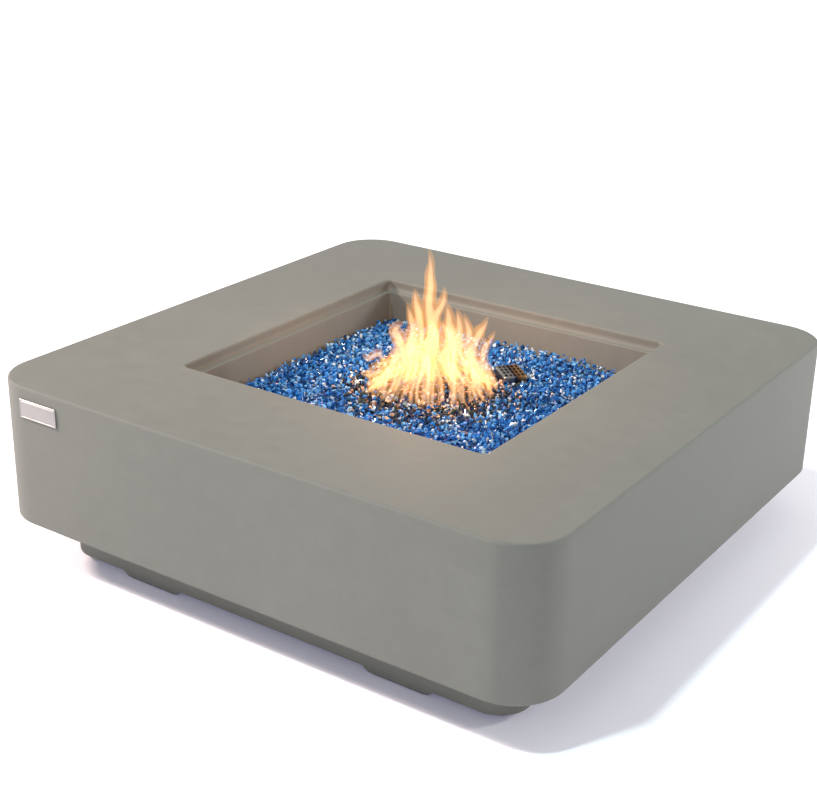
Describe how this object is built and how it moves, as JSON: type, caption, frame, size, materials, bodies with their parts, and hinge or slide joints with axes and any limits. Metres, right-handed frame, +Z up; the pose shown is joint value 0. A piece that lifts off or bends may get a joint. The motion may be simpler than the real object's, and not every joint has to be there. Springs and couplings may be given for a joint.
{
  "type": "gas fire pit table",
  "caption": "Low square cast-concrete gas fire pit on a recessed plinth, with a bowl of blue fire glass over a ring burner, a slotted pilot cover and rear controls.",
  "frame": {"origin": "on the ground under the centre of the body", "axes": "+Z up, -Y is the front with the nameplate, +Y is the rear with the controls, -X is the side with the gas inlet"},
  "size_m": [1.07, 1.0725, 0.345],
  "materials": {
    "concrete": "smooth matte cast concrete",
    "plinth_concrete": "matte cast concrete",
    "fire_glass": "crushed cobalt glass",
    "badge_metal": "brushed, blank",
    "heat_tinted_steel": "heat-tinted",
    "stainless": "brushed",
    "dark_steel": "black oxide",
    "steel_fastener": "zinc plated",
    "spring_steel": "drawn wire",
    "hose_steel": "braided",
    "brass": "turned",
    "copper": "drawn tube",
    "cast_aluminium": "die cast",
    "ceramic": "white insulator",
    "lead_insulation": "silicone sleeve",
    "rubber": "moulded",
    "black_plastic": "moulded",
    "red_plastic": "moulded",
    "battery_sleeve": "printed sleeve, plain"
  },
  "bodies": {
    "root": {"air_mixer": "brass", "battery": "battery_sleeve", "battery_spring": "spring_steel", "bonnet_screws": "steel_fastener", "bracket_screws": "steel_fastener", "burner_pan": "stainless", "burner_stands": "stainless", "concrete_body": "concrete", "control_panel": "stainless", "feed_elbow": "brass", "feed_locknuts": "dark_steel", "feed_nipple": "dark_steel", "fire_glass": "fire_glass", "flare_nuts": "brass", "foot_pads": "rubber", "gas_inlet_fitting": "brass", "gas_valve_body": "cast_aluminium", "generator_nut": "black_plastic", "hood_screws": "steel_fastener", "igniter_electrode": "ceramic", "igniter_lead": "lead_insulation", "inlet_hose": "hose_steel", "inlet_locknut": "brass", "magnet_unit": "brass", "nameplate": "badge_metal", "orifice_jet": "brass", "pan_screws": "steel_fastener", "panel_screws": "steel_fastener", "pilot_bracket": "stainless", "pilot_hood": "heat_tinted_steel", "plinth": "plinth_concrete", "plinth_bolts": "steel_fastener", "ring_burner": "stainless", "spark_generator": "black_plastic", "spindle_spring": "spring_steel", "supply_hose": "hose_steel", "thermocouple": "copper", "thermocouple_lead": "copper", "threaded_inserts": "brass", "valve_bonnet": "cast_aluminium", "valve_nut": "steel_fastener"},
    "valve_push": {"safety_plunger": "brass"},
    "knob": {"control_knob": "black_plastic", "valve_spindle": "brass"},
    "plug": {"valve_plug": "brass"},
    "igniter_cap": {"igniter_cap": "black_plastic", "button_spring": "spring_steel"},
    "igniter_button": {"igniter_button": "red_plastic"},
    "air_shutter": {"air_shutter": "stainless", "shutter_screw": "steel_fastener"}
  },
  "joints": [
    {"name": "knob_push", "type": "slide", "parent": "root", "child": "valve_push", "axis": [0, -1, 0], "range_m": [0, 0.005], "stiffness_N_per_m": 1500, "springref_m": -0.004, "deforming": ["spindle_spring"]},
    {"name": "knob_turn", "type": "hinge", "parent": "valve_push", "child": "knob", "pos_m": [-0.18, 0.47, 0.051], "axis": [0, 1, 0], "range_deg": [0, 180]},
    {"name": "plug_turn", "type": "hinge", "parent": "root", "child": "plug", "pos_m": [-0.18, 0.4, 0.051], "axis": [0, 1, 0], "range_deg": [0, 180]},
    {"name": "cap_off", "type": "slide", "parent": "root", "child": "igniter_cap", "axis": [0, 1, 0], "range_m": [0, 0.03]},
    {"name": "igniter_press", "type": "slide", "parent": "igniter_cap", "child": "igniter_button", "axis": [0, -1, 0], "range_m": [0, 0.003], "stiffness_N_per_m": 600, "springref_m": -0.002, "deforming": ["button_spring"]},
    {"name": "air_shutter_turn", "type": "hinge", "parent": "root", "child": "air_shutter", "pos_m": [0, 0.068, 0.138], "axis": [0, 1, 0], "range_deg": [0, 90]}
  ],
  "couplings": [
    {"joint": "plug_turn", "follows": "knob_turn", "ratio": 1}
  ]
}
